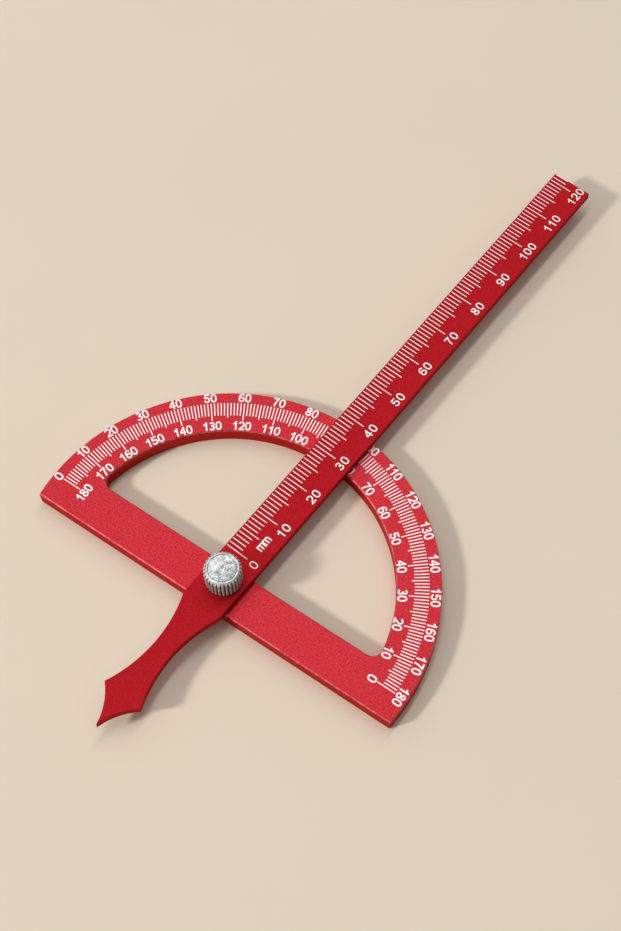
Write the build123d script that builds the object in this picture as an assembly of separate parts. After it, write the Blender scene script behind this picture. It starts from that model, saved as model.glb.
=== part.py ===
from build123d import *
import os
from math import cos, radians, sin, sqrt

# Bevel protractor lying flat on its back face.
# The origin is on the pivot axis, in the plane that the head lies on.
# +X runs along the straight base edge, +Y towards the middle of the arc, +Z up out of the graduated face.
# All sizes are in millimetres and all angles in degrees.

# Protractor head: a half disc with a D-shaped window, so a ring and a straight bar are left
head_radius = 45.6
ring_width = 9.6
base_edge_drop = 5.8
bar_inner_rise = 3.75
head_thickness = 4.0
window_corner_radius = 2.2
head_edge_break = 0.25

# Ruler arm: a flat strip with a square end and an arrow-shaped tail
arm_width = 9.6
arm_thickness = 2.0
arm_reach = 128.7
arm_edge_break = 0.12
arm_rest_angle = 86.1
tail_shoulder_reach = 7.3
tail_barb_reach = 31.9
tail_tip_reach = 39.8
tail_waist_width = 4.6
point_half_angle = 13.5

# Pivot screw: slotted countersunk screw, M3, put in from the back and locked in the bar
screw_diameter = 3.0
screw_length = 10.0
screw_head_diameter = 5.5
screw_head_rim = 0.2
screw_setback = 0.1
screw_slot_width = 0.8
screw_slot_depth = 0.7
screw_tip_chamfer = 0.35

# Captive washer that the thumb nut carries on its neck
washer_diameter = 7.2
washer_thickness = 0.5
washer_edge_break = 0.1

# Thumb nut: straight-knurled cap nut with a turned face
nut_diameter = 8.0
nut_height = 5.5
nut_neck_diameter = 5.0
nut_shoulder_width = 0.55
nut_shoulder_drop = 0.75
nut_bottom_chamfer = 0.15
nut_face_recess_diameter = 6.2
nut_face_recess_depth = 0.08
knurl_teeth = 30
knurl_depth = 0.3

# Fits: radial clearances of turning pairs, and the free space past the screw and the neck
thread_clearance = 0.05
pivot_clearance = 0.05
neck_clearance = 0.05
seat_clearance = 0.03
neck_end_gap = 0.05
screw_end_gap = 0.3

# Levels of the stack on the pivot, worked out from the thicknesses
arm_bottom = head_thickness
arm_top = arm_bottom + arm_thickness
nut_bottom = arm_top + washer_thickness
nut_top = nut_bottom + nut_height
screw_tip = screw_setback + screw_length


def revolved(*points):
    """Solid of revolution about the pivot axis from (radius, height) points."""
    with BuildSketch(Plane.XZ) as section:
        with BuildLine():
            Polyline(*points, close=True)
        make_face()
    return revolve(section.sketch, Axis.Z)


def flat_plate(face, thickness, edge_break):
    """Plate cut from sheet, with the sharp edges of both faces broken by a small chamfer."""
    plate = extrude(face, amount=thickness)
    rims = plate.faces().filter_by(Axis.Z).edges()
    return chamfer(rims, edge_break)


# Head plate
def half_disc(radius, base_height):
    """Face of a disc about the pivot, cut off straight at a height above the pivot line."""
    half_chord = sqrt(radius**2 - base_height**2)
    with BuildSketch() as shape:
        with BuildLine():
            Line((-half_chord, base_height), (half_chord, base_height))
            ThreePointArc((half_chord, base_height), (0, radius), (-half_chord, base_height))
        make_face()
    return shape.sketch


def screw_form(clearance, low, high):
    """Countersunk head and shank between two heights, grown by a clearance."""
    head_r = screw_head_diameter / 2 + clearance
    shank_r = screw_diameter / 2 + clearance
    cone_low = screw_setback + screw_head_rim
    cone_high = cone_low + head_r - shank_r
    return revolved(
        (0, low), (head_r, low), (head_r, cone_low), (shank_r, cone_high), (shank_r, high), (0, high)
    )


def make_head_plate():
    window = half_disc(head_radius - ring_width, bar_inner_rise)
    window = fillet(window.vertices(), window_corner_radius)
    outline = half_disc(head_radius, -base_edge_drop) - window
    plate = flat_plate(outline, head_thickness, head_edge_break)
    return plate - screw_form(seat_clearance, -head_thickness, 2 * head_thickness)


# Ruler arm
def arm_outline():
    """Arm along +X from the pivot: square end, shoulder, hollow flank, barb and point."""
    half = arm_width / 2
    waist_reach = (tail_shoulder_reach + tail_barb_reach) / 2
    shoulder = (-tail_shoulder_reach, half)
    barb = (-tail_barb_reach, half)
    flank_angle = radians(point_half_angle)
    with BuildSketch() as shape:
        with BuildLine() as side:
            Polyline((arm_reach, 0), (arm_reach, half), shoulder)
            ThreePointArc(shoulder, (-waist_reach, tail_waist_width / 2), barb)
            TangentArc((-tail_tip_reach, 0), barb, tangent=(cos(flank_angle), sin(flank_angle)))
            mirror(side.line, about=Plane.XZ)
        make_face()
    return shape.sketch


def make_ruler_arm():
    strip = flat_plate(arm_outline(), arm_thickness, arm_edge_break)
    bore = Cylinder(screw_diameter / 2 + pivot_clearance, 3 * arm_thickness)
    return Pos(0, 0, arm_bottom) * Rot(0, 0, arm_rest_angle) * (strip - bore)


# Pivot screw
def make_pivot_screw():
    blank = screw_form(0, screw_setback, screw_tip)
    blank = chamfer(blank.edges().sort_by(Axis.Z)[-1], screw_tip_chamfer)
    slot_middle = screw_setback + screw_slot_depth / 2
    slot = Pos(0, 0, slot_middle) * Box(2 * screw_head_diameter, screw_slot_width, screw_slot_depth)
    return blank - slot


# Captive washer
def make_captive_washer():
    outer = washer_diameter / 2
    inner = nut_neck_diameter / 2 + neck_clearance
    bevel = washer_edge_break
    return revolved(
        (inner, arm_top),
        (outer - bevel, arm_top),
        (outer, arm_top + bevel),
        (outer, nut_bottom - bevel),
        (outer - bevel, nut_bottom),
        (inner, nut_bottom),
    )


# Thumb nut
def nut_blank():
    """Turned cap nut: neck, blind threaded bore, chamfered rim and a shallow recess in the face."""
    outer = nut_diameter / 2
    neck = nut_neck_diameter / 2
    neck_bottom = arm_top + neck_end_gap
    bore = screw_diameter / 2 + thread_clearance
    bore_top = screw_tip + screw_end_gap
    recess = nut_face_recess_diameter / 2
    recess_floor = nut_top - nut_face_recess_depth
    return revolved(
        (bore, neck_bottom),
        (neck, neck_bottom),
        (neck, nut_bottom),
        (outer - nut_bottom_chamfer, nut_bottom),
        (outer, nut_bottom + nut_bottom_chamfer),
        (outer, nut_top - nut_shoulder_drop),
        (outer - nut_shoulder_width, nut_top),
        (recess, nut_top),
        (recess - nut_face_recess_depth, recess_floor),
        (0, recess_floor),
        (0, bore_top),
        (bore, bore_top),
    )


def knurl_groove():
    """One straight V-groove of 90 degrees, as deep as the knurl and as long as the nut."""
    root = nut_diameter / 2 - knurl_depth
    reach = 2 * knurl_depth
    section = make_face(Polyline((root, 0), (root + reach, reach), (root + reach, -reach), close=True))
    return Pos(0, 0, nut_bottom) * extrude(section, amount=nut_height)


def make_thumb_nut():
    groove = knurl_groove()
    step = 360 / knurl_teeth
    return nut_blank() - [Rot(0, 0, tooth * step) * groove for tooth in range(knurl_teeth)]


os.makedirs("parts", exist_ok=True)
pieces = {
    "head_plate": make_head_plate(),
    "ruler_arm": make_ruler_arm(),
    "pivot_screw": make_pivot_screw(),
    "captive_washer": make_captive_washer(),
    "thumb_nut": make_thumb_nut(),
}
for name, piece in pieces.items():
    export_step(piece, f"parts/{name}.step")
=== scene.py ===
# %% [markdown]
# # Bevel protractor
# A small bench tool for reading and carrying angles. A red half-round head carries two degree
# scales, and a ruler arm with an arrow-shaped tail turns on a screw through the head's straight bar.
# A knurled thumb nut clamps the arm at any angle.
#
# The solid pieces are already made, and this script dresses them: it gives each one its finish,
# prints the scales and the figures, knurls the nut, threads the screw, and lights the result.

# %% Load the solid pieces
from math import atan2, copysign, cos, pi, radians, sin

import bpy
from mathutils import Matrix, Vector
from mathutils.geometry import delaunay_2d_cdt


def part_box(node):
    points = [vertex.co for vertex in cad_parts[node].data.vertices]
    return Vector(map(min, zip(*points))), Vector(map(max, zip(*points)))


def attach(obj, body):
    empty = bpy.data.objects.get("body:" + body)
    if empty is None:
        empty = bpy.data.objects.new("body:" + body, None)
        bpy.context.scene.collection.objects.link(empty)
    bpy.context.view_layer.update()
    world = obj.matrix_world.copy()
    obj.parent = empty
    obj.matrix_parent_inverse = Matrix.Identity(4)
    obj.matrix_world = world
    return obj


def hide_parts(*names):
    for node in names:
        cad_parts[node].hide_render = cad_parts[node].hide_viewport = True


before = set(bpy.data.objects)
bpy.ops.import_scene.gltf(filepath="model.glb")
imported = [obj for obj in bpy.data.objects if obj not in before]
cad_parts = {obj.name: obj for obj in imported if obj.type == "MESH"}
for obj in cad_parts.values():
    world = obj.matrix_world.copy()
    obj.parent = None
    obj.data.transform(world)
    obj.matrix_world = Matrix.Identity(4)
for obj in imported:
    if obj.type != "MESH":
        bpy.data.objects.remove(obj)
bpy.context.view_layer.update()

print("pieces:", sorted(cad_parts))

# %% [markdown]
# ## Sizes
# Blender works in metres, and a small tool is easier to think of in millimetres, so every size below
# is a number times `mm`. The heights of the stack are not typed again: they are read from the solid
# pieces, so a change to one of them moves the printing and the nut along with it.

# %% Sizes that several steps share
mm = 0.001
head_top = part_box("head_plate")[1].z
arm_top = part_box("ruler_arm")[1].z
nut_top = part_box("thumb_nut")[1].z
screw_low, screw_high = (corner.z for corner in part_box("pivot_screw"))
arm_angle = radians(86.1)
print(f"head top {head_top / mm:.2f} mm, arm top {arm_top / mm:.2f} mm, nut top {nut_top / mm:.2f} mm")


# %% [markdown]
# ## Wiring nodes from Python
# Materials and Geometry Nodes are both graphs of nodes. Linking them one call at a time hides the
# idea behind them, so one small class holds an output socket and lets Python's own operators add the
# Math nodes: `1 - mask * 0.3` then reads like the sum that it is. Everything that is not plain
# arithmetic goes through the one method `node`, which sets a node's settings before its sockets.

# %% A socket that can be used in expressions
class Wire:
    """An output socket of a node tree. Operators on wires add Math nodes to that tree."""

    def __init__(self, tree, socket=None):
        self.tree, self.socket = tree, socket

    def node(self, kind, settings=None, sockets=None, out=0):
        """Adds a node, sets its settings and then its sockets, and gives back one of its outputs."""
        made = self.tree.nodes.new(kind)
        for name, value in (settings or {}).items():
            setattr(made, name, value)
        for key, value in (sockets or {}).items():
            if isinstance(value, Wire):
                self.tree.links.new(value.socket, made.inputs[key])
            else:
                made.inputs[key].default_value = value
        return Wire(self.tree, made.outputs[out])

    def also(self, out):
        """Another output of the node that this wire comes from."""
        return Wire(self.tree, self.socket.node.outputs[out])

    def maths(self, operation, *terms, clamp=False):
        """A Math node with this operation on the terms."""
        settings = {"operation": operation, "use_clamp": clamp}
        return self.node("ShaderNodeMath", settings, dict(enumerate(terms)))

    def mix(self, low, high):
        """The colour low where this wire is 0, and high where it is 1."""
        return self.node("ShaderNodeMix", {"data_type": "RGBA"}, {0: self, 6: low, 7: high}, out=2)

    def clamped(self):
        """This wire, kept between 0 and 1."""
        return self.maths("ADD", self, 0.0, clamp=True)

    def __add__(self, other):
        return self.maths("ADD", self, other)

    def __sub__(self, other):
        return self.maths("SUBTRACT", self, other)

    def __rsub__(self, other):
        return self.maths("SUBTRACT", other, self)

    def __mul__(self, other):
        return self.maths("MULTIPLY", self, other)

    def __truediv__(self, other):
        return self.maths("DIVIDE", self, other)

    def __rtruediv__(self, other):
        return self.maths("DIVIDE", other, self)

    def __mod__(self, other):
        return self.maths("FLOORED_MODULO", self, other)

    def __rmod__(self, other):
        return self.maths("FLOORED_MODULO", other, self)

    def __lt__(self, other):
        return self.maths("LESS_THAN", self, other)

    def __abs__(self):
        return self.maths("ABSOLUTE", self)

    __radd__, __rmul__ = __add__, __mul__


trial = bpy.data.node_groups.new("trial", "ShaderNodeTree")
mask = Wire(trial).node("ShaderNodeValue")
print("1 - mask * 0.3 gives a", type(1 - mask * 0.3).__name__, "through", len(trial.nodes), "nodes")
bpy.data.node_groups.remove(trial)


# %% [markdown]
# ## Starting and closing a finish
# Every finish reads the place of the shaded point in Object coordinates. The pieces all sit at the
# origin with their place in their mesh, so one metre of pattern is one metre of tool, and a grain can
# be given its real size. Each finish ends in a Principled shader, and its grain also goes through a
# Bump node, because a blasted or tumbled surface is seen mostly by how its tiny slopes catch light.

# %% Helpers for finishes
def start_finish(name):
    """An empty material, and the wire that starts its nodes."""
    material = bpy.data.materials.new(name)
    material.use_nodes = True
    material.node_tree.nodes.clear()
    return material, Wire(material.node_tree)


def object_place(bench):
    """The place of the shaded point, in metres from the pivot."""
    return bench.node("ShaderNodeTexCoord", out="Object")


def noise(place, size, detail=2.0, roughness=0.5):
    """Cloudy noise between about 0.3 and 0.7, whose blobs are about one size across."""
    sockets = {"Vector": place, "Scale": 1 / size, "Detail": detail, "Roughness": roughness}
    return place.node("ShaderNodeTexNoise", None, sockets)


def pits(place, size):
    """Round dimples about one size apart: 0 in the middle of each and rising to its rim."""
    sockets = {"Vector": place, "Scale": 1 / size}
    return place.node("ShaderNodeTexVoronoi", {"feature": "F1"}, sockets, out="Distance")


def contrast(pattern, gain):
    """A pattern that lies round 0.5, stretched away from it and kept between 0 and 1."""
    return ((pattern - 0.5) * gain + 0.5).clamped()


def bumped(height, depth, strength=1.0):
    """The normal of a surface whose relief has this depth."""
    sockets = {"Strength": strength, "Distance": depth, "Height": height}
    return height.node("ShaderNodeBump", None, sockets, out="Normal")


def close_finish(bench, sockets):
    """Ends a finish in a Principled shader with these values and wires."""
    shader = bench.node("ShaderNodeBsdfPrincipled", None, sockets)
    ending = bench.tree.nodes.new("ShaderNodeOutputMaterial")
    bench.tree.links.new(shader.socket, ending.inputs["Surface"])


def plate_masks(bench):
    """Two masks over a flat plate: 1 on the small chamfers of its edges, and 1 on its cut walls."""
    chamfer_lean, edge_focus, wall_focus = cos(radians(45)), 5, 4
    normal = bench.node("ShaderNodeTexCoord", out="Normal")
    upright = abs(bench.node("ShaderNodeSeparateXYZ", None, {0: normal}, out="Z"))
    edge = (1 - abs(upright - chamfer_lean) * edge_focus).clamped()
    wall = (1 - upright * wall_focus).clamped()
    return edge, wall


def axis_distance(place):
    """The distance of the shaded point from the pivot axis."""
    x = place.node("ShaderNodeSeparateXYZ", None, {0: place}, out="X")
    y = x.also("Y")
    return x.maths("SQRT", x * x + y * y)


print("helpers for finishes are ready")

# %% [markdown]
# ## Red anodised aluminium, blasted coarse
# The head is sheet aluminium, shot with glass beads and then dyed red in the anodising bath. The beads
# leave a fine sparkle of pits, under half a millimetre across, so the red looks frosted and a little
# pink. The dye takes thinner on the sharp chamfers and handling has rubbed them in spots, and their
# lighter colour is partly a painted highlight along the edges. The cut walls are painted darker red,
# which is painted shade.
#
# A flat red would be wrong at any distance: the grain is made from two noises and a pit pattern at
# the real size of the beads' marks. Its light end has more green and blue than its dark end, because
# a sparkle of the bare metal is whitish. The blasted metal scatters what it reflects, so the finish
# is mostly metallic but rough, and a red Specular Tint keeps the walls red at a grazing angle.

# %% The head's finish
head_red, bench = start_finish("red_anodised_blasted")
place = object_place(bench)
grain = noise(place, 0.40 * mm, detail=3.0, roughness=0.68)
bead_marks = pits(place, 0.3 * mm)
cloud = noise(place, 9 * mm)
tone = ((grain - 0.5) * 2.4 + 0.5 + (bead_marks - 0.45) * 0.35 + (cloud - 0.5) * 0.25).clamped()
edge, wall = plate_masks(bench)
rubbed = contrast(noise(place, 0.9 * mm, detail=3.0, roughness=0.7), 4.5)
deep_red, frosted_red = (0.50, 0.005, 0.010, 1), (0.74, 0.067, 0.092, 1)
# The chamfers' lighter reds: thin dye and rubbed spots, and partly a painted highlight.
thin_dye_sheen_red, rubbed_pink_sheen = (0.54, 0.06, 0.07, 1), (0.84, 0.24, 0.25, 1)
# The walls' darker reds are painted shade.
shaded_wall_dark, shaded_wall_light = (0.39, 0.012, 0.012, 1), (0.57, 0.026, 0.026, 1)
dye = tone.mix(deep_red, frosted_red)
dye = (edge * 0.75).mix(dye, rubbed.mix(thin_dye_sheen_red, rubbed_pink_sheen))
dye = wall.mix(dye, tone.mix(shaded_wall_dark, shaded_wall_light))
close_finish(bench, {
    "Base Color": dye,
    "Metallic": 0.85,
    "Specular Tint": (0.85, 0.50, 0.45, 1),
    "Roughness": (grain - 0.5) * 0.4 + 0.58 - wall * 0.12,
    "Normal": bumped(grain + bead_marks * 0.6, 0.03 * mm, 0.7),
})
print(head_red.name, "has", len(head_red.node_tree.nodes), "nodes")

# %% [markdown]
# ## Red anodised aluminium, satin
# The arm comes from thinner strip with a finer satin surface, so the same dye looks deeper and darker
# than on the head. Its grain is about half as coarse, with a faint pull along the strip left by
# rolling. As on the head, its chamfers are painted lighter, partly thin dye and rubbing and partly a
# painted highlight, and its cut walls are painted darker, which is painted shade.
#
# The head's finish with a darker colour would not do, because the eye reads the size of a grain before
# its colour. The pull is the same noise with its coordinates turned to the arm's direction and
# stretched along it by a Mapping node, so no second kind of pattern is needed.

# %% The arm's finish
arm_red, bench = start_finish("red_anodised_satin")
place = object_place(bench)
along_arm = place.node("ShaderNodeMapping", {"vector_type": "TEXTURE"}, {
    "Vector": place, "Rotation": (0, 0, arm_angle), "Scale": (3.0, 1.0, 1.0),
})
grain = noise(place, 0.22 * mm, detail=2.0, roughness=0.6)
rolled = noise(along_arm, 0.3 * mm, detail=2.0)
cloud = noise(place, 12 * mm)
tone = ((grain - 0.5) * 2.2 + (rolled - 0.5) * 0.9 + (cloud - 0.5) * 0.3 + 0.5).clamped()
edge, wall = plate_masks(bench)
rubbed = contrast(noise(place, 0.7 * mm, detail=3.0, roughness=0.7), 4.5)
deep_red, satin_red = (0.36, 0.0025, 0.007, 1), (0.515, 0.019, 0.027, 1)
# The chamfers' lighter reds: thin dye and rubbed spots, and partly a painted highlight.
thin_dye_sheen_red, rubbed_red_sheen = (0.50, 0.02, 0.03, 1), (0.80, 0.08, 0.09, 1)
# The walls' darker reds are painted shade.
shaded_wall_dark, shaded_wall_light = (0.34, 0.008, 0.008, 1), (0.46, 0.012, 0.012, 1)
dye = tone.mix(deep_red, satin_red)
dye = (edge * 0.35).mix(dye, rubbed.mix(thin_dye_sheen_red, rubbed_red_sheen))
dye = wall.mix(dye, tone.mix(shaded_wall_dark, shaded_wall_light))
close_finish(bench, {
    "Base Color": dye,
    "Metallic": 0.85,
    "Specular Tint": (0.85, 0.36, 0.32, 1),
    "Roughness": (grain - 0.5) * 0.3 + 0.56 - wall * 0.10,
    "Normal": bumped(grain + rolled * 0.5, 0.02 * mm, 0.8),
})
print(arm_red.name, "has", len(arm_red.node_tree.nodes), "nodes")

# %% [markdown]
# ## White print
# The scales are screen printed in white ink over the red. The print could be a mask in the metal's own
# finish, but it is made as a thin film of mesh instead: its edges then stay sharp from close by, and
# it goes along wherever the model is exported. Screen ink is dull, slightly uneven in thickness, and
# follows the grain under it, so its finish has a small bump and a touch of shading.

# %% The ink
ink_white, bench = start_finish("white_ink")
place = object_place(bench)
grain = noise(place, 0.25 * mm, detail=2.0)
patchy = noise(place, 2.5 * mm)
cover = ((grain - 0.5) * 0.9 + (patchy - 0.5) * 0.8 + 0.6).clamped()
thin_ink, full_ink = (0.88, 0.80, 0.79, 1), (0.98, 0.95, 0.93, 1)
close_finish(bench, {
    "Base Color": cover.mix(thin_ink, full_ink),
    "Roughness": 0.62 - cover * 0.12,
    "Normal": bumped(grain, 0.01 * mm, 0.5),
})
print(ink_white.name, "has", len(ink_white.node_tree.nodes), "nodes")

# %% [markdown]
# ## Tumbled steel of the thumb nut
# The nut is turned from stainless bar, knurled, and tumbled with others in a drum. Tumbling leaves
# soft dents all over the face, which is why it looks mottled instead of mirror-bright. A light ring on
# the face's lip is partly rubbed bright by tumbling and partly a painted highlight, and a dark ring
# inside it, at the recess's edge, is painted shade. The knurl is darker deep in its grooves.
#
# The nut is round, so every one of these marks is a mask on the distance from its axis. The darkening
# deep in the grooves is worked out from their depth: how far a point lies inside the turned shape,
# which is a cylinder with a sloping shoulder at its top.

# %% The nut's finish
nut_radius, rim_radius, shoulder_drop = 4.0 * mm, 3.45 * mm, 0.75 * mm
lip_radius, recess_shade_radius, mark_width = 3.36 * mm, 3.0 * mm, 0.2 * mm
rim_fade, groove_darkening_depth = 0.06 * mm, 0.18 * mm
shoulder_slope = (nut_radius - rim_radius) / shoulder_drop

nut_steel, bench = start_finish("tumbled_steel")
place = object_place(bench)
radius = axis_distance(place)
drop = nut_top - place.node("ShaderNodeSeparateXYZ", None, {0: place}, out="Z")
dents = noise(place, 1.0 * mm, detail=2.0, roughness=0.5)
scuffs = noise(place, 0.35 * mm, detail=1.5)
crest = drop.maths("MINIMUM", drop * shoulder_slope + rim_radius, nut_radius)
knurl = ((radius - rim_radius) / rim_fade).clamped()
# Darker deep in the knurl's grooves, by how far a point lies inside the turned shape.
groove_darkening = ((crest - radius) / groove_darkening_depth).clamped() * knurl
# A light ring on the lip, partly rubbed bright and partly a painted highlight.
lip = (1 - abs(radius - lip_radius) / mark_width).clamped()
# A dark ring at the recess's edge, painted shade.
recess_shade = (1 - abs(radius - recess_shade_radius) / mark_width).clamped()
tone = ((dents - 0.5) * 2.4 + (scuffs - 0.5) * 1.8 + 0.5).clamped()
face_dark, face_light = (0.24, 0.24, 0.24, 1), (0.52, 0.53, 0.52, 1)
knurl_dark, knurl_light = (0.42, 0.45, 0.46, 1), (0.92, 0.96, 0.97, 1)
recess_shade_grey, lip_sheen_grey = (0.16, 0.16, 0.16, 1), (0.60, 0.60, 0.59, 1)
deep_groove_black = (0.03, 0.035, 0.035, 1)
metal = tone.mix(face_dark, face_light)
# Painted shade at the recess's edge, then the lip's partly painted highlight.
metal = (recess_shade * 0.5).mix(metal, recess_shade_grey)
metal = (lip * 0.8).mix(metal, lip_sheen_grey)
metal = (knurl * 0.9).mix(metal, tone.mix(knurl_dark, knurl_light))
close_finish(bench, {
    "Base Color": (groove_darkening * 0.92).mix(metal, deep_groove_black),
    "Metallic": 1.0 - knurl * 0.45 - groove_darkening * 0.2,
    "Roughness": 0.34 - (tone - 0.5) * 0.1 + knurl * 0.12 + groove_darkening * 0.2,
    "Normal": bumped(dents + scuffs * 0.2, 0.09 * mm, 0.9),
})
print(nut_steel.name, "has", len(nut_steel.node_tree.nodes), "nodes")

# %% [markdown]
# ## Turned washer and zinc-plated screw
# The washer is turned from stainless bar, and a lathe tool leaves fine rings on its faces. A sine of
# the radius makes them, because rings round the pivot axis need nothing but the distance from it. The
# screw is zinc plated, a slightly blue, blotchy grey, which is two noises of different sizes.

# %% The washer's and the screw's finishes
washer_turned, bench = start_finish("turned_stainless")
place = object_place(bench)
ring_pitch = 0.12 * mm
rings = place.maths("SINE", axis_distance(place) * (2 * pi / ring_pitch)) * 0.5 + 0.5
smudge = noise(place, 1.2 * mm, detail=3.0)
dark_steel, light_steel = (0.50, 0.49, 0.47, 1), (0.72, 0.71, 0.69, 1)
close_finish(bench, {
    "Base Color": (rings * 0.4 + smudge * 0.6).mix(dark_steel, light_steel),
    "Metallic": 1.0,
    "Roughness": 0.25 + smudge * 0.2,
    "Normal": bumped(rings, 0.006 * mm, 0.6),
})

screw_zinc, bench = start_finish("zinc_plate")
place = object_place(bench)
blotch = noise(place, 1.6 * mm, detail=4.0, roughness=0.6)
speck = noise(place, 0.2 * mm)
dark_zinc, light_zinc = (0.44, 0.46, 0.50, 1), (0.70, 0.71, 0.72, 1)
close_finish(bench, {
    "Base Color": contrast(blotch, 2.0).mix(dark_zinc, light_zinc),
    "Metallic": 1.0,
    "Roughness": 0.28 + blotch * 0.2,
    "Normal": bumped(speck, 0.01 * mm, 0.5),
})
print(washer_turned.name, "and", screw_zinc.name, "are mixed")

# %% [markdown]
# ## Giving the solid pieces their finishes
# The head, the arm and the washer keep their solid meshes, whose shapes are right, so they only get
# their finishes in the material slots that they came with.

# %% Finishes on the solid pieces
finishes = {"head_plate": head_red, "ruler_arm": arm_red, "captive_washer": washer_turned}
for piece, finish in finishes.items():
    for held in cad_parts[piece].material_slots:
        held.material = finish
    print(piece, "->", finish.name)


# %% [markdown]
# ## Scale lines
# Both scales follow one rule: lines at an even step, every fifth one longer and every tenth the
# longest. On the arm the step is a millimetre along a straight edge, and on the head it is a degree
# round the pivot. Array modifiers would need one stack for each length of line. One Geometry Nodes
# tree can make both scales, because a step may be a shift, a turn or both.
#
# Each line is a thin block of ink: an instance of a cube, scaled to the line's width, length and film.
# It starts at the scale's edge and runs inwards by its length. Realize Instances turns the instances
# into real mesh at the end, and Set Material inks them. A printed scale is never quite true to its
# part, so the rule also has a creep: past the 120th line the print slides slowly inwards.

# %% Helpers for Geometry Nodes
def placed(name, data):
    """An object with this data, standing in the scene."""
    made = bpy.data.objects.new(name, data)
    bpy.context.scene.collection.objects.link(made)
    return made


def plain_mesh(maker):
    """The mesh that an object's modifiers make of it, with nothing left live."""
    graph = bpy.context.evaluated_depsgraph_get()
    return bpy.data.meshes.new_from_object(maker.evaluated_get(graph), depsgraph=graph)


def start_rule(name, inputs):
    """A Geometry Nodes tree with named inputs, given as {name: (socket kind, default)}."""
    tree = bpy.data.node_groups.new(name, "GeometryNodeTree")
    tree.interface.new_socket("Geometry", in_out="INPUT", socket_type="NodeSocketGeometry")
    tree.interface.new_socket("Geometry", in_out="OUTPUT", socket_type="NodeSocketGeometry")
    for label, (kind, default) in inputs.items():
        socket = tree.interface.new_socket(label, in_out="INPUT", socket_type="NodeSocket" + kind)
        if default is not None:
            socket.default_value = default
    entry = Wire(tree).node("NodeGroupInput")
    return entry, {label: entry.also(label) for label in ["Geometry", *inputs]}


def close_rule(shape, material):
    """Ends a tree in real mesh with its material."""
    real = shape.node("GeometryNodeRealizeInstances", None, {"Geometry": shape})
    inked = shape.node("GeometryNodeSetMaterial", None, {"Geometry": real, "Material": material})
    ending = shape.tree.nodes.new("NodeGroupOutput")
    shape.tree.links.new(inked.socket, ending.inputs["Geometry"])
    return shape.tree


def follow_rule(name, tree, values, start=None):
    """A plain mesh object made by a tree with these input values, from a starting mesh if there is one."""
    seed = placed(name + "_seed", start or bpy.data.meshes.new(name + "_seed"))
    rule = seed.modifiers.new(tree.name, "NODES")
    rule.node_group = tree
    for socket in tree.interface.items_tree:
        if socket.in_out == "INPUT" and socket.name in values:
            rule[socket.identifier] = values[socket.name]
    mesh = plain_mesh(seed)
    bpy.data.objects.remove(seed)
    mesh.name = name
    return placed(name, mesh)


print("helpers for rules are ready")

# %% The rule of the scale lines
creep_from, creep_over = 120, 60
plain_number = ("Float", 0.0)
measures = ["First", "Step", "Start turn", "Step turn", "Edge", "Short", "Middle", "Long",
            "Line width", "Film", "Level", "Creep"]
entry, size = start_rule("scale_lines", {
    "Lines": ("Int", 10),
    **dict.fromkeys(measures, plain_number),
    "Ink": ("Material", None),
})
count = entry.node("GeometryNodeInputIndex")
fifth, tenth = count % 5 < 0.5, count % 10 < 0.5
longer, longest = size["Middle"] - size["Short"], size["Long"] - size["Middle"]
reach = size["Short"] + fifth * longer + tenth * longest
late = ((count - creep_from) / creep_over).clamped()
edge = size["Edge"] - late * late * size["Creep"]
middle = entry.node("ShaderNodeCombineXYZ", None, {
    0: size["First"] + count * size["Step"], 1: edge - reach / 2, 2: size["Level"],
})
spots = entry.node("GeometryNodePoints", None, {"Count": size["Lines"], "Position": middle})
line = entry.node("GeometryNodeMeshCube", None, {"Size": (1, 1, 1)})
girth = entry.node("ShaderNodeCombineXYZ", None, {0: size["Line width"], 1: reach, 2: size["Film"]})
lines = entry.node("GeometryNodeInstanceOnPoints", None, {
    "Points": spots, "Instance": line, "Scale": girth,
})
angle = size["Start turn"] + entry.node("GeometryNodeInputIndex") * size["Step turn"]
turn = entry.node("ShaderNodeCombineXYZ", None, {2: angle})
turn = entry.node("FunctionNodeEulerToRotation", None, {0: turn})
lines = entry.node("GeometryNodeRotateInstances", None, {
    "Instances": lines, "Rotation": turn, "Pivot Point": (0, 0, 0), "Local Space": False,
})
scale_lines = close_rule(lines, size["Ink"])
print("the rule of the scale lines has", len(scale_lines.nodes), "nodes")

# %% [markdown]
# The film of ink is 0.01 mm proud of the metal and reaches a little into it, so no gap shows under it.
# On the head the readings run clockwise from the left end of the bar, so the first line is turned a
# quarter turn to the left and each next one a degree back.

# %% Both scales
film_proud, film_sunk = 0.01 * mm, 0.02 * mm
film = film_proud + film_sunk
print_creep = 0.35 * mm


def film_level(surface):
    """The height of the middle of an ink film on a surface."""
    return surface + (film_proud - film_sunk) / 2


head_lines = follow_rule("head_scale_lines", scale_lines, {
    "Lines": 181, "First": 0.0, "Step": 0.0, "Start turn": radians(90), "Step turn": radians(-1),
    "Edge": 43.0 * mm, "Short": 3.12 * mm, "Middle": 3.7 * mm, "Long": 4.3 * mm,
    "Line width": 0.25 * mm, "Film": film, "Level": film_level(head_top),
    "Creep": print_creep, "Ink": ink_white,
})
arm_lines = follow_rule("arm_scale_lines", scale_lines, {
    "Lines": 123, "First": 6.50 * mm, "Step": 1.0 * mm, "Start turn": arm_angle, "Step turn": 0.0,
    "Edge": 4.53 * mm, "Short": 3.48 * mm, "Middle": 4.55 * mm, "Long": 5.46 * mm,
    "Line width": 0.192 * mm, "Film": film, "Level": film_level(arm_top),
    "Creep": 0.0, "Ink": ink_white,
})
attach(head_lines, "head")
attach(arm_lines, "arm")
for lines in (head_lines, arm_lines):
    print(lines.name, "has", len(lines.data.polygons) // 6, "lines")


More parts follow.
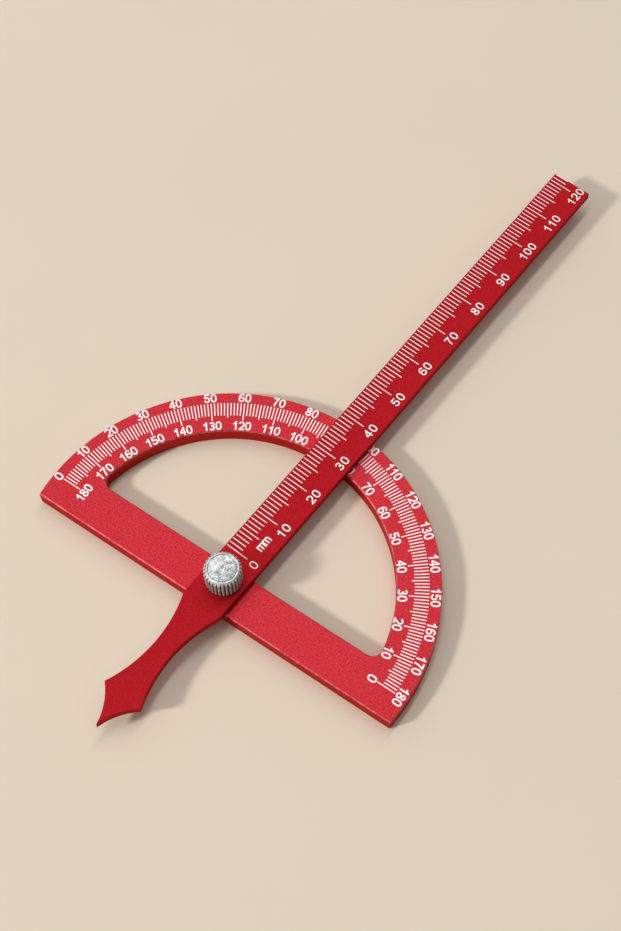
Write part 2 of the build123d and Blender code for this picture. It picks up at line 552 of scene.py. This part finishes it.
# %% [markdown]
# ## Figures
# The figures are a plain sans-serif. A text object could set them, but its letters would bring a
# font's own shapes and spacing. Each one is drawn here with a pen instead: a few lines and arcs down
# the middle of its strokes, in a box one high, widened to the pen's width. Widening makes overlapping
# slabs, and a constrained triangulation merges them into one flat shape: it keeps the triangles that
# lie in at least one slab and leaves the counters of the 0, 4, 6, 8 and 9 open. The flat shape then
# gets a top, a bottom and walls, like the lines.

# %% Pen strokes
figure_width = 0.71


def arc(x, y, rx, ry, start, end, steps=12):
    """Points on part of an ellipse, in degrees anticlockwise from the right."""
    turns = [radians(start + (end - start) * k / steps) for k in range(steps + 1)]
    return [(x + rx * cos(t), y + ry * sin(t)) for t in turns]


def ring(x, y, rx, ry, squareness=2.0, steps=28):
    """Points round a closed oval, squarer than an ellipse where squareness is above 2."""
    power = 2 / squareness
    points = []
    for k in range(steps + 1):
        c, s = cos(2 * pi * k / steps), sin(2 * pi * k / steps)
        points.append((x + rx * copysign(abs(c) ** power, c), y + ry * copysign(abs(s) ** power, s)))
    return points


def blended(points, shares):
    """The one point that these points make when each counts by its share."""
    return tuple(sum(share * point[i] for point, share in zip(points, shares)) for i in (0, 1))


def bow(a, b, c, d, steps=8):
    """Points on a cubic curve from a to d, pulled towards b and c."""
    points = []
    for k in range(steps + 1):
        s, r = k / steps, 1 - k / steps
        points.append(blended((a, b, c, d), (r ** 3, 3 * r ** 2 * s, 3 * r * s * s, s ** 3)))
    return points


def figure_strokes(pen):
    """The strokes of each figure, whose outside is one high, for a pen width as a share of that height."""
    h = pen / 2
    top, low = 1 - h, h
    six = [
        ring(0.355, 0.325, 0.355 - h, 0.325 - h, 2.1),
        arc(0.40, 0.50, 0.40 - h, 0.5 - h, 42, 176),
    ]
    return {
        "0": [ring(0.355, 0.5, 0.355 - h, 0.5 - h, 2.35)],
        "1": [
            [(0.46, 0), (0.46, 1)],
            bow((0.45, 0.99 - h), (0.38, 0.86 - h), (0.28, 0.79 - h), (0.12, 0.74 - h)),
        ],
        "2": [
            arc(0.36, 0.70, 0.355 - h, 0.30 - h, 172, -18)
            + bow((0.60, 0.52), (0.50, 0.38), (0.24, 0.28), (0.09 + h, low))[1:],
            [(0.02, low), (0.70, low)],
        ],
        "3": [
            arc(0.345, 0.735, 0.305 - h, 0.265 - h, 165, -90),
            arc(0.35, 0.285, 0.34 - h, 0.285 - h, 90, -165),
            [(0.26, 0.535), (0.38, 0.535)],
        ],
        "4": [
            [(0.50, 0), (0.50, 1)],
            [(0.50, top), (0.06, 0.27 + h)],
            [(0.015, 0.225 + h), (0.71, 0.225 + h)],
        ],
        "5": [
            [(0.14, top), (0.64, top)],
            [(0.175, 1.0), (0.105, 0.50)],
            arc(0.345, 0.335, 0.355 - h, 0.335 - h, 142, -168),
        ],
        "6": six,
        "7": [[(0.02, top), (0.69, top)], bow((0.62, top), (0.42, 0.68), (0.28, 0.34), (0.26, 0))],
        "8": [ring(0.35, 0.745, 0.31 - h, 0.255 - h), ring(0.35, 0.28, 0.35 - h, 0.28 - h)],
        "9": [[(figure_width - x, 1 - y) for x, y in path] for path in six],
        "m": [
            [(h, 0), (h, 1)],
            arc(0.34, 0.62, 0.34 - h, 0.38 - h, 165, 0) + [(0.68 - h, 0)],
            arc(0.34 + 0.68 - 2 * h, 0.62, 0.34 - h, 0.38 - h, 165, 0) + [(2 * (0.68 - h) - h, 0)],
        ],
    }


print("figures drawn:", " ".join(sorted(figure_strokes(0.16))))


# %% Strokes to flat shapes
def slabs(path, pen):
    """The four-sided slabs of a pen as wide as pen drawn along a path, with mitred joints."""
    closed = abs(path[0][0] - path[-1][0]) + abs(path[0][1] - path[-1][1]) < 1e-6
    points = path[:-1] if closed else path
    total, sides = len(points), []
    for k, (x, y) in enumerate(points):
        before = points[k - 1] if closed or k else points[k]
        after = points[(k + 1) % total] if closed or k < total - 1 else points[k]
        runs = [(x - before[0], y - before[1]), (after[0] - x, after[1] - y)]
        turns = [atan2(dy, dx) for dx, dy in runs if (dx, dy) != (0, 0)]
        half_bend = ((turns[-1] - turns[0] + pi) % (2 * pi) - pi) / 2
        across = turns[0] + half_bend + pi / 2
        out = pen / 2 / max(cos(half_bend), 0.5)
        dx, dy = out * cos(across), out * sin(across)
        sides.append(((x + dx, y + dy), (x - dx, y - dy)))
    pairs = zip(sides, sides[1:] + sides[:1] if closed else sides[1:])
    return [[right_a, right_b, left_b, left_a] for (left_a, right_a), (left_b, right_b) in pairs]


def merged(strokes, pen):
    """(points, triangles) of the flat shape that all the strokes cover together."""
    points, faces = [], []
    for path in strokes:
        for slab in slabs(path, pen):
            faces.append(list(range(len(points), len(points) + 4)))
            points += slab
    whole_hull, tolerance = 0, 1e-5
    flat, _, triangles, _, _, inside = delaunay_2d_cdt(points, [], faces, whole_hull, tolerance)
    return [tuple(p) for p in flat], [tuple(t) for t, owners in zip(triangles, inside) if owners]


def cut_figures(pen, narrow):
    """Every figure as (points, triangles), for one pen width, with the strokes' middles drawn narrower."""
    figures = {}
    for mark, strokes in figure_strokes(pen).items():
        squeezed = [[(x * narrow, y) for x, y in path] for path in strokes]
        figures[mark] = merged(squeezed, pen)
    return figures


print("triangles in an 8:", len(merged(figure_strokes(0.16)["8"], 0.16)[1]))


# %% [markdown]
# ## Setting the figures
# A number is a row of figures on one baseline, centred on its line. On the arm the figures read along
# the strip with their feet at the right-hand edge. On the head they stand on a circle with their tops
# outwards: the outer row counts up clockwise and the inner row counts down. The head's rows are
# tight, so figures in a row are drawn a little narrower there than a single 0. The numbers were set
# by hand on the printer's film, and each arm number has a slip of its own off its line.

# %% Setting a number
class Print:
    """Ink being laid on one surface: figures are added to it, and it becomes one closed mesh."""

    def __init__(self, surface, pen, narrow=1.0):
        self.low, self.high = surface - film_sunk, surface + film_proud
        self.alone, self.alone_width = cut_figures(pen, 1.0), figure_width
        self.in_row, self.row_width = cut_figures(pen, narrow), figure_width * narrow
        self.points, self.faces = [], []

    def add(self, shape, place):
        """One figure, with place turning a point of its box into (x, y) on the surface."""
        flat, triangles = shape
        first, count = len(self.points), len(flat)
        spots = [place(x, y) for x, y in flat]
        self.points += [(x, y, self.low) for x, y in spots] + [(x, y, self.high) for x, y in spots]
        edges = {(a, b) for t in triangles for a, b in zip(t, t[1:] + t[:1])}
        for a, b, c in triangles:
            self.faces.append((first + count + a, first + count + b, first + count + c))
            self.faces.append((first + c, first + b, first + a))
        for a, b in edges:
            if (b, a) not in edges:
                self.faces.append((first + a, first + b, first + count + b, first + count + a))

    def number(self, text, middle, foot, height, right, up, spread, shift):
        """A number centred on a point, its baseline along right and moved by foot towards up."""
        if len(text) > 1:
            figures, wide = self.in_row, self.row_width
        else:
            figures, wide = self.alone, self.alone_width
        width = (len(text) - 1) * spread + wide
        for k, mark in enumerate(text):
            start = k * spread - width / 2 + shift / height

            def place(x, y, start=start):
                along, rise = (start + x) * height, foot + y * height
                return tuple(middle[i] + right[i] * along + up[i] * rise for i in (0, 1))

            self.add(figures[mark], place)

    def finish(self, name, body):
        """The laid ink as a piece of its own, riding on a body."""
        mesh = bpy.data.meshes.new(name)
        mesh.from_pydata(self.points, [], self.faces)
        mesh.materials.append(ink_white)
        mesh.validate()
        made = placed(name, mesh)
        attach(made, body)
        print(name, "has", len(mesh.polygons), "faces")


def ways(angle):
    """The direction at an angle, and the one a quarter turn to its left."""
    return (cos(angle), sin(angle)), (-sin(angle), cos(angle))


print("the arm points along", [round(share, 3) for share in ways(arm_angle)[0]])


# %% The figures on the arm
arm_print = Print(arm_top, pen=0.15)
along, left = ways(arm_angle)
zero_mark, height, spread = 6.45, 2.04 * mm, 0.885
slips = [-0.14, -0.19, 0.0, 0.06, 0.10, 0.07, 0.03, 0.02, 0.02, -0.02, -0.18, -0.28, -0.50]
for value, slip in zip(range(0, 130, 10), slips):
    middle = [(zero_mark + value) * mm * share for share in along]
    foot = (-3.88 if value < 25 else -3.79) * mm
    arm_print.number(str(value), middle, foot, height, along, left, spread, slip * mm)
arm_print.finish("arm_figures", "arm")

# %% The unit mark on the arm
unit_print = Print(arm_top, pen=0.2)
unit_at, foot, height, spread, shift = 11.38 * mm, -2.29 * mm, 1.55 * mm, 1.14, -0.34 * mm
middle = [unit_at * share for share in along]
unit_print.number("mm", middle, foot, height, along, left, spread, shift)
unit_print.finish("arm_unit_mark", "arm")

# %% The figures on the head
head_print = Print(head_top, pen=0.175, narrow=0.88)
pivot, spread = (0, 0), 0.678
outer_foot, outer_height = 43.27 * mm, 2.17 * mm
inner_foot, inner_height, inner_creep = 36.28 * mm, 2.14 * mm, 0.7
for outer in range(0, 190, 10):
    inner = 180 - outer
    out, _ = ways(radians(inner))
    clockwise = (out[1], -out[0])
    creep = print_creep * max(0, (outer - creep_from) / creep_over) ** 2
    foot, slip = outer_foot - creep, (-0.16 if 10 <= outer <= 40 else -0.07) * mm
    head_print.number(str(outer), pivot, foot, outer_height, clockwise, out, spread, slip)
    foot, slip = inner_foot - creep * inner_creep, (-0.14 if outer < 95 else 0.01) * mm
    head_print.number(str(inner), pivot, foot, inner_height, clockwise, out, spread, slip)
head_print.finish("head_figures", "head")


# %% [markdown]
# ## The thumb nut
# The nut starts as a turned blank: a profile of radius and height, spun round the pivot axis. Real
# turned edges are never knife-sharp after tumbling, so each corner of the profile is eased with a
# small curve. Knurling then follows a rule: thirty straight V-grooves round the rim. Thirty cutters in
# a Boolean modifier would leave long thin faces. Geometry Nodes presses the grooves in instead, by
# pulling each point of the blank inwards to the groove's own radius. That is its root plus the
# distance from the groove's middle, because a 90-degree V rises as fast as it widens.

# %% Turning a profile
def eased(profile, amounts, steps=3):
    """The (radius, height) profile with its corners rounded, each by its own amount."""
    smooth = []
    for k, (corner, amount) in enumerate(zip(profile, amounts)):
        if not amount:
            smooth.append(corner)
            continue
        ends = []
        for other in (profile[k - 1], profile[(k + 1) % len(profile)]):
            dx, dy = other[0] - corner[0], other[1] - corner[1]
            share = amount / (dx * dx + dy * dy) ** 0.5
            ends.append((corner[0] + dx * share, corner[1] + dy * share))
        for j in range(steps + 1):
            s, r = j / steps, 1 - j / steps
            smooth.append(blended((ends[0], corner, ends[1]), (r ** 2, 2 * r * s, s * s)))
    return smooth


def turned(name, profile, columns):
    """A closed mesh spun round the pivot axis from a profile in mm that starts and ends on the axis."""
    points, rows = [], []
    for r, z in profile:
        if r < 1e-6:
            rows.append([len(points)] * columns)
            points.append((0, 0, z * mm))
        else:
            rows.append(list(range(len(points), len(points) + columns)))
            turns = [2 * pi * k / columns for k in range(columns)]
            points += [(r * cos(t) * mm, r * sin(t) * mm, z * mm) for t in turns]
    faces = []
    for low, high in zip(rows, rows[1:]):
        for k in range(columns):
            j = (k + 1) % columns
            around = [low[k], low[j], high[j], high[k]]
            corners = [p for i, p in enumerate(around) if p not in around[:i]]
            if len(corners) > 2:
                faces.append(corners)
    mesh = bpy.data.meshes.new(name)
    mesh.from_pydata(points, [], faces)
    return mesh


def shaded(piece, sharp):
    """Smooth shading, with edges sharper than this many degrees kept crisp."""
    piece.data.shade_smooth()
    piece.data.set_sharp_from_angle(angle=radians(sharp))


trial = turned("trial", [(0, 0), (1, 0), (0, 1)], 8)
print("a cone turned in 8 columns has", len(trial.polygons), "faces")
bpy.data.meshes.remove(trial)


# %% The knurling rule
at_axis = 0.01 * mm
entry, size = start_rule("straight_knurl", {
    "Teeth": ("Int", 30),
    **dict.fromkeys(["Outer radius", "Groove depth"], plain_number),
    "Finish": ("Material", None),
})
point = entry.node("GeometryNodeInputPosition")
x = entry.node("ShaderNodeSeparateXYZ", None, {0: point}, out="X")
y, z, r = x.also("Y"), x.also("Z"), axis_distance(point)
tooth = x.maths("ARCTAN2", y, x) / (2 * pi) * size["Teeth"]
off_middle = abs((tooth + 0.5) % 1 - 0.5) / size["Teeth"] * 2 * pi * size["Outer radius"]
groove = size["Outer radius"] - size["Groove depth"] + off_middle
pull = x.maths("MINIMUM", groove / x.maths("MAXIMUM", r, at_axis), 1.0)
pressed = entry.node("ShaderNodeCombineXYZ", None, {0: x * pull, 1: y * pull, 2: z})
knurled = entry.node("GeometryNodeSetPosition", None, {"Geometry": size["Geometry"], "Position": pressed})
straight_knurl = close_rule(knurled, size["Finish"])
print("the knurling rule has", len(straight_knurl.nodes), "nodes")

# %% The nut itself
knurl_teeth, facets_a_tooth, groove_depth = 30, 10, 0.3 * mm
outer, rim, recess, neck, bore = nut_radius / mm, rim_radius / mm, 3.1, 2.5, 1.55
nut_height, recess_depth, foot_chamfer, neck_gap, bore_gap = 5.5, 0.08, 0.15, 0.05, 0.3
top, arm_face, screw_end = (round(level / mm, 3) for level in (nut_top, arm_top, screw_high))
shoulder, bottom = top - shoulder_drop / mm, top - nut_height
neck_end, bore_top = arm_face + neck_gap, screw_end + bore_gap
# Each corner of the profile in mm, as (radius, height), and how far it is eased.
corners = {
    (0, top - recess_depth): 0,
    (recess - recess_depth, top - recess_depth): 0.03,
    (recess, top): 0.03,
    (rim, top): 0.09,
    (outer, shoulder): 0.12,
    (outer, bottom + foot_chamfer): 0,
    (outer - foot_chamfer, bottom): 0,
    (neck, bottom): 0.05,
    (neck, neck_end): 0.05,
    (bore, neck_end): 0.08,
    (bore, bore_top): 0,
    (0, bore_top): 0,
}
profile = eased(list(corners), list(corners.values()))
blank = turned("nut_blank", profile[::-1], knurl_teeth * facets_a_tooth)
nut = follow_rule("knurled_thumb_nut", straight_knurl, {
    "Teeth": knurl_teeth, "Outer radius": nut_radius,
    "Groove depth": groove_depth, "Finish": nut_steel,
}, blank)
shaded(nut, 32)
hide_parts("thumb_nut")
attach(nut, "nut")
print("the nut has", len(nut.data.polygons), "faces")

# %% [markdown]
# ## The pivot screw
# Lifting the nut bares the screw's M3 thread, so the screw is turned again with a real thread. A thread
# is a ridge that climbs one pitch for each turn, which is a rule: the surface's radius depends only on
# the height less the angle's share of a pitch. The blank needs enough rows to carry that wave. The
# countersunk head is part of the same profile, and its slot, seen from the back, is cut with a Boolean
# modifier, which is the simplest way to make one flat-sided cut.

# %% The threading rule
root_width, flank_slope, core_share = 1.15, 2.6, 0.7
measures = ["Pitch", "Depth", "From", "To", "Crest"]
entry, size = start_rule("screw_thread", {
    **dict.fromkeys(measures, plain_number),
    "Finish": ("Material", None),
})
point = entry.node("GeometryNodeInputPosition")
x = entry.node("ShaderNodeSeparateXYZ", None, {0: point}, out="X")
y, z, r = x.also("Y"), x.also("Z"), axis_distance(point)
climb = (z / size["Pitch"] - x.maths("ARCTAN2", y, x) / (2 * pi)) % 1
flank = (root_width - abs(climb - 0.5) * flank_slope).clamped()
ramp_in = ((z - size["From"]) / size["Pitch"]).clamped() * ((size["To"] - z) / size["Pitch"]).clamped()
wall = 1 - (r < size["Crest"] * core_share)
pull = 1 - flank * ramp_in * wall * size["Depth"] / x.maths("MAXIMUM", r, at_axis)
pressed = entry.node("ShaderNodeCombineXYZ", None, {0: x * pull, 1: y * pull, 2: z})
threaded = entry.node("GeometryNodeSetPosition", None, {"Geometry": size["Geometry"], "Position": pressed})
screw_thread = close_rule(threaded, size["Finish"])
print("the threading rule has", len(screw_thread.nodes), "nodes")

# %% The screw itself
low, high = screw_low / mm, screw_high / mm
head, head_rim, head_break, shank, tip_chamfer = 2.75, 0.2, 0.05, 1.5, 0.35
pitch, thread_from, thread_depth, past_tip, rows_a_turn, columns = 0.5, 3.6, 0.3, 0.2, 8, 48
threaded_length = high - tip_chamfer - thread_from
rows = int(threaded_length / pitch * rows_a_turn)
cone_end = low + head_rim + head - shank
head_profile = [(0, low), (head - head_break, low), (head, low + head_break), (head, low + head_rim)]
shank_profile = [(shank, thread_from + threaded_length * k / rows) for k in range(rows + 1)]
tip_profile = [(shank - tip_chamfer, high), (0, high)]
profile = [*head_profile, (shank, cone_end), *shank_profile, *tip_profile]
screw = follow_rule("threaded_pivot_screw", screw_thread, {
    "Pitch": pitch * mm, "Depth": thread_depth * mm, "From": thread_from * mm,
    "To": screw_high + past_tip * mm, "Crest": shank * mm, "Finish": screw_zinc,
}, turned("screw_blank", profile, columns))
print(f"the thread is {threaded_length:.2f} mm long, in {rows} rows")

# %% The slot in its head
half_length, half_width, slot_depth, overshoot = 3.2 * mm, 0.4 * mm, 0.7 * mm, 0.5 * mm
levels = (screw_low - overshoot, screw_low + slot_depth)
corners = [(a * half_length, b * half_width, z) for a in (-1, 1) for b in (-1, 1) for z in levels]
sides = [(0, 1, 3, 2), (4, 6, 7, 5), (0, 4, 5, 1), (2, 3, 7, 6), (0, 2, 6, 4), (1, 5, 7, 3)]
cutter_mesh = bpy.data.meshes.new("slot_cutter")
cutter_mesh.from_pydata(corners, [], sides)
cutter = placed("slot_cutter", cutter_mesh)
slotting = screw.modifiers.new("slot", "BOOLEAN")
slotting.operation, slotting.object, slotting.solver = "DIFFERENCE", cutter, "EXACT"
slotted = plain_mesh(screw)
screw.modifiers.clear()
screw.data = slotted
bpy.data.objects.remove(cutter)
shaded(screw, 35)
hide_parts("pivot_screw")
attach(screw, "head")
print("the screw has", len(screw.data.polygons), "faces")

# %% [markdown]
# ## Floor and light
# The tool lies on a plain pale floor. A round lamp stands low at the front left, about 35 degrees up,
# and draws the soft shadow on the right of each piece. A long strip hangs overhead: its reflection
# lights the flat red tops evenly from end to end, which a small lamp would do only in one spot. The
# world is a dim studio that is brighter on the left, so the walls on the right stay dark and the
# nut has something to reflect. Around its horizon hangs a pale backdrop, which the camera and the
# metal see, and which adds no other light.

# %% The floor
floor_paint, bench = start_finish("pale_floor")
place = object_place(bench)
wash = noise(place, 60 * mm, detail=3.0)
dark_wash, light_wash = (0.76, 0.65, 0.51, 1), (0.82, 0.70, 0.55, 1)
close_finish(bench, {
    "Base Color": wash.mix(dark_wash, light_wash),
    "Roughness": 0.7,
    "Normal": bumped(noise(place, 0.8 * mm), 0.01 * mm, 0.4),
})
floor_mesh = bpy.data.meshes.new("floor")
reach, floor_level, rim_points = 1.2, -0.02 * mm, 96
turns = [2 * pi * k / rim_points for k in range(rim_points)]
rim = [(reach * cos(t), reach * sin(t), floor_level) for t in turns]
floor_mesh.from_pydata(rim, [], [range(rim_points)])
floor_mesh.materials.append(floor_paint)
floor = placed("floor", floor_mesh)
print("the floor is", 2 * reach, "m wide")

# %% The lamps
def hang_lamp(name, shape, size, watts, place, back):
    """An area lamp of this shape and size in metres at a place, with its back in this direction."""
    lamp = bpy.data.lights.new(name, "AREA")
    lamp.shape, lamp.size, lamp.size_y, lamp.energy = shape, size[0], size[1], watts
    turn = Vector(back).to_track_quat("Z", "Y").to_matrix().to_4x4()
    placed(name, lamp).matrix_world = Matrix.Translation(Vector(place)) @ turn
    print(name, "hangs at", [round(v, 2) for v in place])


heading, climb, distance = radians(235), radians(34.5), 1.6
outward = (cos(heading) * cos(climb), sin(heading) * cos(climb), sin(climb))
spot = [distance * v for v in outward]
hang_lamp("side_lamp", "DISK", size=(0.20, 0.20), watts=14.5, place=spot, back=outward)
overhead, spot = (0, 0, 1), (-0.20, 0.60, 1.2)
hang_lamp("strip_lamp", "RECTANGLE", size=(0.13, 1.9), watts=5.6, place=spot, back=overhead)

# %% The world
world = bpy.data.worlds.new("studio")
bpy.context.scene.world = world
world.use_nodes = True
world.node_tree.nodes.clear()
bench = Wire(world.node_tree)
looking = bench.node("ShaderNodeTexCoord", out="Generated")
x = bench.node("ShaderNodeSeparateXYZ", None, {0: looking}, out="X")
y, z = x.also("Y"), x.also("Z")
dim_grey, bright_grey, paper = (0.12, 0.12, 0.12, 1), (0.80, 0.81, 0.83, 1), (0.76, 0.75, 0.73, 1)
leftward = y * 0.16 - x * 0.34
glow = (z * 0.25 + leftward + 0.22).clamped().mix(dim_grey, bright_grey)
path = bench.node("ShaderNodeLightPath", out="Is Camera Ray")
seen = (path + path.also("Is Glossy Ray")).clamped()
backdrop_top, backdrop_fade = 0.32, 0.12
backdrop = seen * ((backdrop_top - z) / backdrop_fade).clamped()
shown = backdrop.mix(glow, paper)
background = bench.node("ShaderNodeBackground", None, {"Color": shown, "Strength": 1.0})
ending = world.node_tree.nodes.new("ShaderNodeOutputWorld")
world.node_tree.links.new(background.socket, ending.inputs["Surface"])
print("the world has", len(world.node_tree.nodes), "nodes")

# %% [markdown]
# ## Camera
# The camera stands 63 degrees above the bench, in front and to the right, and is rolled a little. Its
# place and its three directions were worked out from the tool itself: the scale lines are a ruler in
# the picture, so enough of them fix where it was taken from and with which lens.

# %% The camera
right = (0.8233542, 0.5674238, -0.0108673)
up = (-0.5036381, 0.7393572, 0.4468776)
backwards = (0.2616038, -0.3624654, 0.8945291)
stand = (87.0099 * mm, -88.7640 * mm, 303.9382 * mm)
sensor, lens_pixels, picture_height = 36.0, 1543.006, 931
camera = bpy.data.cameras.new("camera")
camera.sensor_width = sensor
camera.lens = lens_pixels * sensor / picture_height
camera.clip_start, camera.clip_end = 0.01, 20.0
tripod = placed("camera", camera)
rows = [[right[k], up[k], backwards[k], stand[k]] for k in range(3)]
tripod.matrix_world = Matrix([*rows, [0, 0, 0, 1]])
bpy.context.scene.camera = tripod
bpy.context.scene.view_settings.view_transform = "Standard"
print(f"the lens is {camera.lens:.1f} mm")
